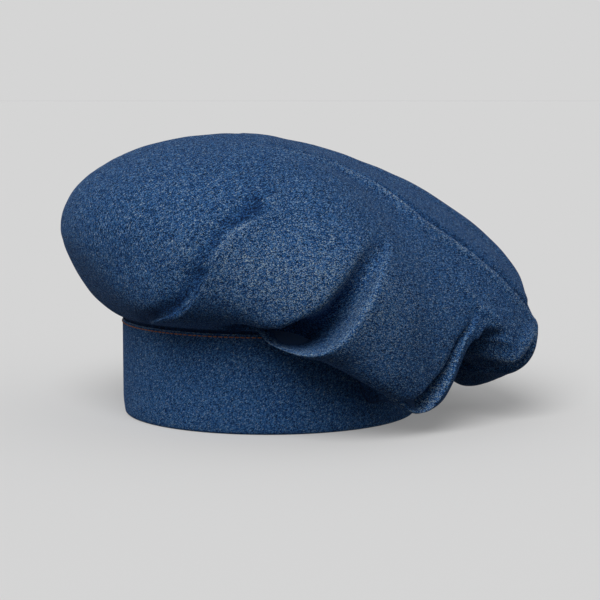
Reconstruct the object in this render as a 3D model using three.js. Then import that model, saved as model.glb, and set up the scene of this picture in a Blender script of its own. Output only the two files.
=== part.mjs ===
// A soft chef's hat of blue denim. A double strip of cloth makes the band around the
// head, and one round piece of the same cloth, pleated into the band, makes the crown,
// which has fallen over to one side. Lengths are millimetres and azimuths are degrees.
// +Z is up, +X is the side that the crown falls to, and -Y is the front. The origin is
// the middle of the opening at the band's lower edge, where the head goes in.

import * as THREE from 'three';

// The cloth and the seam that joins the two pieces
const CROWN_CLOTH = 1.0;      // thickness of the crown's single layer
const BAND_LEAF = 1.1;        // thickness of each of the band's two leaves
const SEAM_DEPTH = 8;         // how far the crown's edge reaches down between the leaves
const SEAM_CLEARANCE = 0.3;   // between the crown's edge and each leaf

// The band
const BAND_WIDTH = 200;       // outside, from side to side
const BAND_DEPTH = 196;       // outside, from front to back
const BAND_HEIGHT = 64;
const BAND_CURL_HEIGHT = 14;  // the lower edge leans in over this height
const BAND_CURL = 1.5;        // and by this much
const BAND_FOLD_ROUNDING = 1.2;

// The crown
const CROWN_HEIGHT = 124;     // from the seam to the highest point
const CROWN_REACH = 80;       // how far a full section stands out past the band
const CROWN_TOP_SHIFT = 18;   // the highest point lies this far to the left of the middle
const ROLL_OUT = 2;           // the cloth rolls out over the band's edge by this much
const ROLL_UP = 3;            // and stands this far above it

// The pleats
const PLEAT_SPREAD = 16;      // half width of a full pleat
const PLEAT_LAP = 8;          // how far a full pleat's lip leans over its valley
const PLEAT_ROLL = 6;         // how far a full lip stands proud of the crown

// How finely the cloth is faceted
const BAND_COLUMNS = 72;
const LOWER_ROWS = 12;        // from the seam to the rim
const UPPER_ROWS = 10;        // from the rim to the top
// A gore's columns: the first few climb the pleat's wall and lip, at these widths from its
// valley, and the others share the way on to the next pleat
const LIP_COLUMNS = [0, 0.5, 0.95, 1.35, 1.9];
const OPEN_COLUMNS = [0.25, 0.5, 0.75, 0.92];
const LIP_ROOM = 0.7;         // the lip's columns take at most this share of their gore

// A row of the crown is told by its share of the way from the seam (0) to the top (1).
// The rim, where the crown is widest, is at this share.
const RIM = 0.4;

// The crown's sections around the hat. reach is a share of CROWN_REACH. rim and belly are
// heights over the seam: a share of CROWN_HEIGHT above it, and of BAND_HEIGHT below it.
// inward tells whether the belly hangs near the seam (1) or near the rim (-1), and early how
// soon after the seam the cloth is out under the rim. fullness is the exponent of the dome's
// curve over the rim: 2 is an ellipse.
const SECTIONS = [
  { azimuth: -180, reach: 0.48, rim: 0.49, belly: 0.23, inward: -0.7, early: 0.45, fullness: 2.1 },
  { azimuth: -150, reach: 0.47, rim: 0.47, belly: 0.22, inward: -0.7, early: 0.5, fullness: 2.1 },
  { azimuth: -120, reach: 0.49, rim: 0.4, belly: 0.13, inward: -0.3, early: 1, fullness: 2.15 },
  { azimuth: -95, reach: 0.58, rim: 0.33, belly: 0.09, inward: 0, early: 1.2, fullness: 2.15 },
  { azimuth: -75, reach: 0.67, rim: 0.21, belly: -0.18, inward: 0, early: 0.9, fullness: 2.1 },
  { azimuth: -60, reach: 0.68, rim: 0.11, belly: -0.5, inward: 0, early: 0.7, fullness: 1.95 },
  { azimuth: -46, reach: 0.61, rim: 0.01, belly: -0.76, inward: -0.1, early: 0.6, fullness: 1.85 },
  { azimuth: -32, reach: 0.7, rim: -0.06, belly: -0.6, inward: 0, early: 0.5, fullness: 1.72 },
  { azimuth: -18, reach: 0.9, rim: -0.16, belly: -0.46, inward: 0.1, early: 0.5, fullness: 1.6 },
  { azimuth: -6, reach: 0.98, rim: -0.1, belly: -0.62, inward: 0.1, early: 0.5, fullness: 1.57 },
  { azimuth: 6, reach: 0.91, rim: 0.12, belly: -0.72, inward: 0.2, early: 0.5, fullness: 1.55 },
  { azimuth: 28, reach: 0.86, rim: 0.12, belly: -0.7, inward: 0.2, early: 0.5, fullness: 1.55 },
  { azimuth: 52, reach: 0.8, rim: 0.12, belly: -0.48, inward: 0.2, early: 0.45, fullness: 1.5 },
  { azimuth: 78, reach: 0.68, rim: 0.19, belly: -0.12, inward: 0, early: 0.45, fullness: 1.6 },
  { azimuth: 105, reach: 0.56, rim: 0.34, belly: 0.1, inward: -0.3, early: 0.45, fullness: 1.85 },
  { azimuth: 140, reach: 0.48, rim: 0.46, belly: 0.2, inward: -0.6, early: 0.45, fullness: 2.05 },
];

// The pleats, in order around the hat. path is the valley's azimuth at the rows PATH_ROWS.
// At the rows FOLD_ROWS, depth is the share of the reach that the valley takes back, left
// and right are the widths of its two sides as shares of PLEAT_SPREAD, lap is the lip's
// lean as a share of PLEAT_LAP, roll its height as a share of PLEAT_ROLL, and hold how much
// the pleat holds the sag up. arch is how far it does so to its left and to its right, as
// shares of PLEAT_SPREAD. wall tells how flat the valley's left side is before it climbs.
// end is the row where the pleat has run out.
const PATH_ROWS = [0, 0.2, 0.4, 0.5, 0.62];
const FOLD_ROWS = [0, 0.25, 0.4, 0.55];
const PLEATS = [
  { path: [-140, -115, -104, -97.5, -87], depth: [0.2, 0.12, 0.12, 0.1], left: [0.3, 0.35, 0.5, 0.5],
    right: [0.35, 0.35, 0.3, 0.3], lap: [0.3, 0.5, 0.8, 0.7], roll: [0.1, 0.3, 0.45, 0.4],
    hold: [1, 0.4, 0.1, 0], arch: [0.35, 0.3], wall: 1.2, end: 0.8 },
  { path: [-101, -82, -71, -65.5, -57], depth: [0.85, 0.9, 0.4, 0.22], left: [0.8, 1.3, 0.8, 0.5],
    right: [0.4, 0.35, 0.55, 0.5], lap: [0.3, 0.9, 0.8, 0.5], roll: [0.2, 0.9, 0.9, 0.7],
    hold: [1, 1, 0.6, 0], arch: [1.5, 0.35], wall: 3, end: 0.64 },
  { path: [-62, -53, -39, -31, -30], depth: [0.7, 0.5, 0.2, 0.1], left: [1, 0.9, 0.6, 0.4],
    right: [0.8, 0.8, 0.6, 0.4], lap: [0, 0, 0.1, 0.1], roll: [0.1, 0.4, 0.4, 0.2],
    hold: [1, 0.7, 0.2, 0], arch: [1, 0.7], wall: 1, end: 0.54 },
  { path: [-18, -25, -28, -24, -16], depth: [0.8, 0.6, 0.25, 0.1], left: [1, 0.9, 0.8, 0.5],
    right: [0.7, 0.7, 0.6, 0.5], lap: [0, 0, 0, 0], roll: [0, 0, 0.1, 0.2],
    hold: [1, 1, 1, 0], arch: [1.1, 0.7], wall: 2, end: 0.52 },
  { path: [-4, -12, -8, -3, 2], depth: [0.6, 0.3, 0.1, 0.05], left: [0.6, 0.6, 0.6, 0.5],
    right: [0.8, 0.8, 0.6, 0.5], lap: [0, 0, 0, 0], roll: [0, 0.1, 0.2, 0.1],
    hold: [1, 0.4, 0, 0], arch: [0.6, 0.6], wall: 1.2, end: 0.5 },
  { path: [16, 18, 22, 21, 20], depth: [0.8, 0.75, 0.36, 0.14], left: [0.7, 0.8, 0.8, 0.6],
    right: [0.5, 0.7, 0.6, 0.5], lap: [0.3, 0.6, 0.5, 0.2], roll: [0.2, 0.5, 0.5, 0.2],
    hold: [1, 1, 0.8, 0], arch: [0.8, 0.7], wall: 1, end: 0.64 },
  { path: [48, 50, 50, 47, 42], depth: [0.8, 0.75, 0.4, 0.14], left: [0.7, 0.8, 0.8, 0.6],
    right: [0.5, 0.7, 0.6, 0.5], lap: [0.3, 0.6, 0.5, 0.2], roll: [0.2, 0.5, 0.5, 0.2],
    hold: [1, 1, 0.8, 0], arch: [0.8, 0.7], wall: 1, end: 0.64 },
  { path: [84, 86, 82, 76, 70], depth: [0.8, 0.75, 0.36, 0.14], left: [0.7, 0.9, 0.9, 0.6],
    right: [0.5, 0.7, 0.6, 0.5], lap: [0.3, 0.6, 0.5, 0.2], roll: [0.2, 0.5, 0.5, 0.2],
    hold: [1, 1, 0.8, 0], arch: [0.8, 0.7], wall: 1, end: 0.64 },
  { path: [118, 120, 112, 104, 96], depth: [0.8, 0.7, 0.32, 0.14], left: [0.7, 0.9, 0.9, 0.6],
    right: [0.5, 0.6, 0.6, 0.5], lap: [0.3, 0.6, 0.5, 0.2], roll: [0.2, 0.5, 0.5, 0.2],
    hold: [1, 1, 0.8, 0], arch: [0.8, 0.7], wall: 1, end: 0.64 },
  { path: [150, 148, 140, 132, 124], depth: [0.75, 0.6, 0.26, 0.12], left: [0.8, 1, 1, 0.6],
    right: [0.4, 0.5, 0.5, 0.4], lap: [0.3, 0.6, 0.5, 0.2], roll: [0.2, 0.4, 0.4, 0.2],
    hold: [1, 1, 0.8, 0], arch: [0.8, 0.6], wall: 1, end: 0.66 },
  { path: [182, 178, 172, 165, 158], depth: [0.45, 0.22, 0.08, 0.03], left: [0.8, 1, 1, 0.8],
    right: [0.6, 0.7, 0.7, 0.6], lap: [0, 0, 0, 0], roll: [0, 0.1, 0.1, 0],
    hold: [1, 0.6, 0.2, 0], arch: [0.6, 0.6], wall: 1, end: 0.58 },
];

// The shape of a single pleat across its width, in widths of its own side
const VALLEY_WALL = 2.2;      // exponent of the steep wall under the lip
const VALLEY_HOLDS_UP = 0.95; // share of the sag that a full hold takes out
const ARCH_WALL = 3.5;        // how sharply that hold ends at the sides of its arch
const LIP_AT = 1.35;
const LIP_WIDTH = 0.5;
const LIP_CREASE = 1.6;       // exponent of the lip's curve: 2 is round
const LAP_BEGINS = 0.1;       // the row by which the lip is free of the seam
const HELD_RISE = 0.45;       // how soon cloth that is held up leaves the seam
const DOME_SETTLES = 0.15;    // the dome is plain elliptic inside this share of its plan

const BAND_WALL = 2 * BAND_LEAF + CROWN_CLOTH + 2 * SEAM_CLEARANCE;
const FULL_TURN = 360;

const radians = THREE.MathUtils.degToRad;
const lerp = THREE.MathUtils.lerp;
const clamp = THREE.MathUtils.clamp;
const smooth = (x, from, to) => THREE.MathUtils.smoothstep(x, from, to);

function hermite(y1, y2, slope1, slope2, t) {
  const t2 = t * t;
  const t3 = t2 * t;
  return (2 * t3 - 3 * t2 + 1) * y1 + (t3 - 2 * t2 + t) * slope1
    + (3 * t2 - 2 * t3) * y2 + (t3 - t2) * slope2;
}

// A smooth curve through values at the given rows, held level beyond both ends
function along(rows, values, row) {
  const last = rows.length - 1;
  const at = clamp(row, rows[0], rows[last]);
  let i = 0;
  while (i < last - 1 && at >= rows[i + 1]) i += 1;
  const step = (k) => (values[k + 1] - values[k]) / (rows[k + 1] - rows[k]);
  const slope = (k) => {
    if (k === 0) return step(0);
    if (k === last) return 0;
    return (step(k - 1) + step(k)) / 2;
  };
  const length = rows[i + 1] - rows[i];
  const t = (at - rows[i]) / length;
  return hermite(values[i], values[i + 1], slope(i) * length, slope(i + 1) * length, t);
}

// A column of the section table as a smooth closed curve around the hat
function around(azimuth, key) {
  const count = SECTIONS.length;
  const start = SECTIONS[0].azimuth;
  const turned = start + THREE.MathUtils.euclideanModulo(azimuth - start, FULL_TURN);
  let i = 0;
  while (i < count - 1 && turned >= SECTIONS[i + 1].azimuth) i += 1;
  const place = (k) => {
    const turns = Math.floor(k / count);
    const section = SECTIONS[k - turns * count];
    return { azimuth: section.azimuth + turns * FULL_TURN, value: section[key] };
  };
  const [before, from, to, after] = [place(i - 1), place(i), place(i + 1), place(i + 2)];
  const length = to.azimuth - from.azimuth;
  const slope = (a, b) => (b.value - a.value) / (b.azimuth - a.azimuth) * length;
  const t = (turned - from.azimuth) / length;
  return hermite(from.value, to.value, slope(before, to), slope(from, after), t);
}

// A point of the band's oval, moved inwards at right angles to it
function bandPoint(azimuth, inset, z) {
  const a = BAND_WIDTH / 2;
  const b = BAND_DEPTH / 2;
  const c = Math.cos(radians(azimuth));
  const s = Math.sin(radians(azimuth));
  const radius = a * b / Math.hypot(b * c, a * s);
  const point = new THREE.Vector3(radius * c, radius * s, z);
  const outward = new THREE.Vector3(point.x / (a * a), point.y / (b * b), 0).normalize();
  return point.addScaledVector(outward, -inset);
}

function bandRadius(azimuth) {
  return bandPoint(azimuth, 0, 0).length();
}

function heightOverSeam(share) {
  return share > 0 ? share * CROWN_HEIGHT : share * BAND_HEIGHT;
}

// How far out the cloth has come at a share of the way from the seam to the rim
function riseOut(t, early) {
  const u = 1 - t;
  return 3 * u * u * t * early + 3 * u * t * t + t * t * t;
}

// The crown at one azimuth and row, with the pull of its pleats: taken is the share of the
// reach that they take back, and held is the share of the sag that they hold up.
function crownPoint(azimuth, row, taken, held) {
  const outward = new THREE.Vector3(Math.cos(radians(azimuth)), Math.sin(radians(azimuth)), 0);
  const start = bandRadius(azimuth) + ROLL_OUT;
  const reach = around(azimuth, 'reach') * CROWN_REACH;
  const rim = heightOverSeam(around(azimuth, 'rim'));
  if (row <= RIM) {
    const t = row / RIM;
    const u = 1 - t;
    const belly = heightOverSeam(around(azimuth, 'belly'));
    const pull = (belly - (ROLL_UP + rim) / 8) / 0.75 - ROLL_UP;
    const inward = around(azimuth, 'inward');
    const low = ROLL_UP + (1 + inward) * pull;
    const lower = ROLL_UP + (1 - inward) * pull;
    const sagging = u * u * u * ROLL_UP + 3 * t * u * u * low + 3 * t * t * u * lower + t * t * t * rim;
    const straight = lerp(ROLL_UP, rim, (t + riseOut(t, HELD_RISE)) / 2);
    const risen = riseOut(t, around(azimuth, 'early'));
    const point = outward.multiplyScalar(start + reach * risen * (1 - taken));
    point.z = BAND_HEIGHT + lerp(sagging, straight, held);
    return point;
  }
  const plan = Math.max(Math.cos(domeTurn(row)), 0);
  const fullness = lerp(2, around(azimuth, 'fullness'), smooth(plan, 0, DOME_SETTLES));
  const lift = (1 - plan ** fullness) ** (1 / fullness);
  const top = new THREE.Vector3(-CROWN_TOP_SHIFT, 0, BAND_HEIGHT + CROWN_HEIGHT);
  const edge = outward.clone().multiplyScalar(start + reach);
  edge.z = BAND_HEIGHT + rim;
  const point = new THREE.Vector3().lerpVectors(top, edge, plan);
  point.z = lerp(edge.z, top.z, lift);
  const back = outward.multiplyScalar(-Math.sqrt(1 - lift * lift));
  back.z = -lift;
  return point.addScaledVector(back, taken * reach);
}

// One pleat at a distance across it, in millimetres to the right of its valley
function pleatAt(pleat, across, row) {
  const share = (key) => along(FOLD_ROWS, pleat[key], row);
  const fade = 1 - smooth(row, RIM, pleat.end);
  const side = across < 0 ? 'left' : 'right';
  const widths = Math.abs(across) / (share(side) * PLEAT_SPREAD);
  const valley = Math.exp(-(widths ** (across < 0 ? pleat.wall : VALLEY_WALL)));
  const reaches = pleat.arch[across < 0 ? 0 : 1] * PLEAT_SPREAD;
  const free = across < 0 ? 0 : smooth(row, 0, LAP_BEGINS) * fade;
  const lip = free * Math.exp(-(Math.abs((widths - LIP_AT) / LIP_WIDTH) ** LIP_CREASE));
  return {
    depth: share('depth') * fade * valley,
    hold: share('hold') * Math.exp(-((Math.abs(across) / reaches) ** ARCH_WALL)),
    lap: share('lap') * PLEAT_LAP * lip,
    roll: share('roll') * PLEAT_ROLL * lip,
  };
}

// How far the dome has turned over from the rim (0) to the top (a right angle)
function domeTurn(row) {
  return clamp((row - RIM) / (1 - RIM), 0, 1) * Math.PI / 2;
}

// The plan radius of the crown before its pleats are laid in
function openRadius(azimuth, row) {
  const reach = around(azimuth, 'reach') * CROWN_REACH;
  const risen = riseOut(Math.min(row / RIM, 1), around(azimuth, 'early'));
  const out = bandRadius(azimuth) + ROLL_OUT + reach * risen;
  return Math.max(out * Math.cos(domeTurn(row)), ROLL_OUT);
}

// The crown at one azimuth and row, with every pleat laid in
function pleatedPoint(azimuth, row) {
  const turn = domeTurn(row);
  const radius = openRadius(azimuth, row);
  let left = 1;
  let sagging = 1;
  let lap = 0;
  let roll = 0;
  for (const pleat of PLEATS) {
    const away = azimuth - along(PATH_ROWS, pleat.path, row);
    const turned = THREE.MathUtils.euclideanModulo(away + FULL_TURN / 2, FULL_TURN) - FULL_TURN / 2;
    const fold = pleatAt(pleat, radians(turned) * radius, row);
    left *= 1 - fold.depth;
    sagging *= 1 - VALLEY_HOLDS_UP * fold.hold;
    lap += fold.lap;
    roll += fold.roll;
  }
  const point = crownPoint(azimuth, row, 1 - left, 1 - sagging);
  const plan = Math.hypot(point.x, point.y);
  point.applyAxisAngle(new THREE.Vector3(0, 0, 1), -lap / Math.max(plan, ROLL_OUT));
  const outward = new THREE.Vector3(point.x, point.y, 0).normalize();
  point.addScaledVector(outward, roll * Math.cos(turn));
  point.z += roll * Math.sin(turn);
  return point;
}

// The share of the way from one pleat to the next at which a column stands. Where the lip
// is free it keeps to the lip. At the seam and over the pleat's end the columns are even.
function columnShare(gore, column, from, to, row) {
  const pleat = PLEATS[gore];
  const count = LIP_COLUMNS.length + OPEN_COLUMNS.length;
  const radius = openRadius(from, row);
  const width = along(FOLD_ROWS, pleat.right, row) * PLEAT_SPREAD / (radians(to - from) * radius);
  const lastLip = LIP_COLUMNS[LIP_COLUMNS.length - 1];
  const shareTaken = Math.min(lastLip * width, LIP_ROOM);
  const folded = column < LIP_COLUMNS.length
    ? shareTaken * LIP_COLUMNS[column] / lastLip
    : lerp(shareTaken, 1, OPEN_COLUMNS[column - LIP_COLUMNS.length]);
  const free = smooth(row, 0, LAP_BEGINS) * (1 - smooth(row, pleat.end, 1));
  return lerp(column / count, folded, free);
}

function columnAzimuth(gore, column, row) {
  const next = (gore + 1) % PLEATS.length;
  const turns = next === 0 ? FULL_TURN : 0;
  const from = along(PATH_ROWS, PLEATS[gore].path, row);
  const to = along(PATH_ROWS, PLEATS[next].path, row) + turns;
  return lerp(from, to, columnShare(gore, column, from, to, row));
}

// The outer face of the crown, a column at a time: its edge down in the seam, the roll over
// the band and the rows up to the last one before the top
function crownColumn(gore, number) {
  const seam = columnAzimuth(gore, number, 0);
  const inset = BAND_LEAF + SEAM_CLEARANCE;
  const column = [
    bandPoint(seam, inset, BAND_HEIGHT - SEAM_DEPTH + SEAM_CLEARANCE),
    bandPoint(seam, inset, BAND_HEIGHT),
  ];
  for (let i = 0; i < LOWER_ROWS; i += 1) {
    const row = RIM * i / LOWER_ROWS;
    column.push(pleatedPoint(columnAzimuth(gore, number, row), row));
  }
  for (let i = 0; i < UPPER_ROWS; i += 1) {
    const row = lerp(RIM, 1, i / UPPER_ROWS);
    column.push(pleatedPoint(columnAzimuth(gore, number, row), row));
  }
  return column;
}

// The inner face lies one cloth thickness under the outer one, along directions that are
// evened out between neighbours so that it stays whole inside the tight folds
function innerFace(columns, top) {
  const count = columns.length;
  const column = (i) => columns[(i + count) % count];
  const across = columns.map((points, i) => points.map((point, j) => {
    const below = points[Math.max(j - 1, 0)];
    const above = j + 1 < points.length ? points[j + 1] : top;
    const alongRow = new THREE.Vector3().subVectors(column(i + 1)[j], column(i - 1)[j]);
    const upColumn = new THREE.Vector3().subVectors(above, below);
    return alongRow.cross(upColumn).normalize();
  }));
  return columns.map((points, i) => points.map((point, j) => {
    const outward = across[i][j].clone().multiplyScalar(2);
    outward.add(across[(i + count - 1) % count][j]).add(across[(i + 1) % count][j]);
    return point.clone().addScaledVector(outward.normalize(), -CROWN_CLOTH);
  }));
}

function meshGeometry(points, triangles) {
  const geometry = new THREE.BufferGeometry();
  const positions = points.flatMap((point) => point.toArray());
  geometry.setAttribute('position', new THREE.Float32BufferAttribute(positions, 3));
  geometry.setIndex(triangles);
  geometry.computeVertexNormals();
  return geometry;
}

function crownGeometry() {
  const columns = [];
  for (let gore = 0; gore < PLEATS.length; gore += 1) {
    for (let i = 0; i < LIP_COLUMNS.length + OPEN_COLUMNS.length; i += 1) {
      columns.push(crownColumn(gore, i));
    }
  }
  const top = new THREE.Vector3(-CROWN_TOP_SHIFT, 0, BAND_HEIGHT + CROWN_HEIGHT);
  const under = top.clone().setZ(top.z - CROWN_CLOTH);
  const inner = innerFace(columns, top);
  const rows = columns[0].length;
  const points = [...columns.flat(), ...inner.flat(), top, under];
  const outerAt = (i, j) => (i % columns.length) * rows + j;
  const innerAt = (i, j) => outerAt(i, j) + columns.length * rows;
  const topIndex = points.length - 2;
  const triangles = [];
  const quad = (a, b, c, d) => triangles.push(a, b, c, a, c, d);
  for (let i = 0; i < columns.length; i += 1) {
    for (let j = 0; j < rows - 1; j += 1) {
      quad(outerAt(i, j), outerAt(i + 1, j), outerAt(i + 1, j + 1), outerAt(i, j + 1));
      quad(innerAt(i, j), innerAt(i, j + 1), innerAt(i + 1, j + 1), innerAt(i + 1, j));
    }
    triangles.push(outerAt(i, rows - 1), outerAt(i + 1, rows - 1), topIndex);
    triangles.push(innerAt(i + 1, rows - 1), innerAt(i, rows - 1), topIndex + 1);
    quad(innerAt(i, 0), innerAt(i + 1, 0), outerAt(i + 1, 0), outerAt(i, 0));
  }
  return meshGeometry(points, triangles);
}

// The band's section, as insets from its outer face and heights: up the outer leaf, down
// into the seam and up again, down the inner leaf, and around the fold at the bottom
function bandProfile() {
  const curl = (z) => BAND_CURL * (1 - Math.min(z / BAND_CURL_HEIGHT, 1)) ** 2;
  const floor = BAND_HEIGHT - SEAM_DEPTH;
  const rise = [BAND_FOLD_ROUNDING, BAND_CURL_HEIGHT / 2, BAND_CURL_HEIGHT];
  const outer = rise.map((z) => [curl(z), z]);
  const inner = rise.map((z) => [BAND_WALL + curl(z), z]).reverse();
  return [
    [curl(0) + BAND_FOLD_ROUNDING, 0],
    ...outer,
    [0, BAND_HEIGHT],
    [BAND_LEAF, BAND_HEIGHT],
    [BAND_LEAF, floor],
    [BAND_WALL - BAND_LEAF, floor],
    [BAND_WALL - BAND_LEAF, BAND_HEIGHT],
    [BAND_WALL, BAND_HEIGHT],
    ...inner,
    [BAND_WALL + curl(0) - BAND_FOLD_ROUNDING, 0],
  ];
}

function bandGeometry() {
  const profile = bandProfile();
  const points = [];
  for (let i = 0; i < BAND_COLUMNS; i += 1) {
    const azimuth = FULL_TURN * i / BAND_COLUMNS;
    points.push(...profile.map(([inset, z]) => bandPoint(azimuth, inset, z)));
  }
  const at = (i, j) => (i % BAND_COLUMNS) * profile.length + (j % profile.length);
  const triangles = [];
  for (let i = 0; i < BAND_COLUMNS; i += 1) {
    for (let j = 0; j < profile.length; j += 1) {
      triangles.push(at(i, j), at(i + 1, j), at(i + 1, j + 1));
      triangles.push(at(i, j), at(i + 1, j + 1), at(i, j + 1));
    }
  }
  return meshGeometry(points, triangles);
}

function clothPiece(name, geometry, colour) {
  const denim = new THREE.MeshStandardMaterial({ color: colour, roughness: 0.95, metalness: 0 });
  const mesh = new THREE.Mesh(geometry, denim);
  mesh.name = name;
  return mesh;
}

const hat = new THREE.Group();
hat.add(clothPiece('band', bandGeometry(), 0x253953));
hat.add(clothPiece('crown', crownGeometry(), 0x2e4a6c));

export default hat;
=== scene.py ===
"""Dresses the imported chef's hat in denim, with its stitching and stage. Lengths are metres."""

import math
from collections import namedtuple

import bpy
import numpy as np
from bpy.props import FloatProperty, FloatVectorProperty, PointerProperty
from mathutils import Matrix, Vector, noise


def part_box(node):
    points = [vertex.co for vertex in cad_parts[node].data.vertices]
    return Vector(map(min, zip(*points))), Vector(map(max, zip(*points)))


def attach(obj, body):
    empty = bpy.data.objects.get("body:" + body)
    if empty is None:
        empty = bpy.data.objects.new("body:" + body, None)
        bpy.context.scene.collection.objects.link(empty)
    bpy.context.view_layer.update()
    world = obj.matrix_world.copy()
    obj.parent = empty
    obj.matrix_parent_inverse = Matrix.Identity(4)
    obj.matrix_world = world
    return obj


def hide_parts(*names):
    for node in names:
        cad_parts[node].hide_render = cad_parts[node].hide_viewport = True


bl_info = {
    "name": "Denim chef's hat",
    "version": (1, 0, 0),
    "blender": (4, 5, 0),
    "location": "3D View > Sidebar > Hat",
    "description": "Makes the cloth, stitching and stage of a soft denim chef's hat",
    "category": "Add Mesh",
}

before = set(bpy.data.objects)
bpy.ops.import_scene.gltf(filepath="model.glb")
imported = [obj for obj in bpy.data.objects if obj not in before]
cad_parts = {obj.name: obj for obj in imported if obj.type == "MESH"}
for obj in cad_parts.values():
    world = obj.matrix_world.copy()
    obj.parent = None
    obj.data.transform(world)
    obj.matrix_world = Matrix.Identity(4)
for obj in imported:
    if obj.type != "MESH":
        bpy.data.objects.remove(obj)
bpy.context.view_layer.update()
BAND_LOW, BAND_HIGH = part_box("band")

# The cloth and the seam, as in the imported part
CROWN_CLOTH = 0.0010
BAND_LEAF = 0.0011
SEAM_DEPTH = 0.008
SEAM_CLEARANCE = 0.0003
BAND_WALL = 2 * BAND_LEAF + CROWN_CLOTH + 2 * SEAM_CLEARANCE

# The band's lower edge
BAND_CURL_HEIGHT = 0.014
BAND_CURL = 0.0015
BAND_FOLD_ROUNDING = 0.0012

# A row of the crown is told by its share of the way from the seam (0) to the top (1).
# The rim, where the crown is widest, is at this share.
RIM = 0.4

# The crown's sections around the hat. Azimuths are degrees. reach is a share of the crown's
# reach. rim and belly are heights over the seam: a share of the crown's height above it, and
# of the band's height below it. inward tells whether the belly hangs near the seam (1) or
# near the rim (-1), and early how soon after the seam the cloth is out under the rim.
# fullness is the exponent of the dome's curve: 2 is an ellipse.
Section = namedtuple("Section", "azimuth reach rim belly inward early fullness")
SECTIONS = [
    Section(-180, 0.48, 0.49, 0.23, -0.7, 0.45, 2.1),
    Section(-150, 0.47, 0.47, 0.22, -0.7, 0.5, 2.1),
    Section(-120, 0.49, 0.40, 0.13, -0.3, 1.0, 2.15),
    Section(-95, 0.58, 0.33, 0.09, 0.0, 0.6, 2.15),
    Section(-75, 0.67, 0.21, -0.18, 0.0, 0.6, 2.1),
    Section(-60, 0.68, 0.11, -0.50, 0.0, 0.7, 1.95),
    Section(-46, 0.61, 0.01, -0.76, -0.1, 0.6, 1.85),
    Section(-32, 0.70, -0.06, -0.60, 0.0, 0.5, 1.72),
    Section(-18, 0.90, -0.16, -0.46, 0.1, 0.5, 1.6),
    Section(-6, 0.98, -0.10, -0.60, 0.1, 0.5, 1.56),
    Section(6, 0.92, 0.12, -0.75, 0.35, 0.5, 1.55),
    Section(28, 0.87, 0.12, -0.74, 0.4, 0.5, 1.55),
    Section(52, 0.80, 0.12, -0.48, 0.2, 0.45, 1.5),
    Section(78, 0.68, 0.19, -0.12, 0.0, 0.45, 1.6),
    Section(105, 0.56, 0.34, 0.10, -0.3, 0.45, 1.85),
    Section(140, 0.48, 0.46, 0.20, -0.6, 0.45, 2.05),
]

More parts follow.
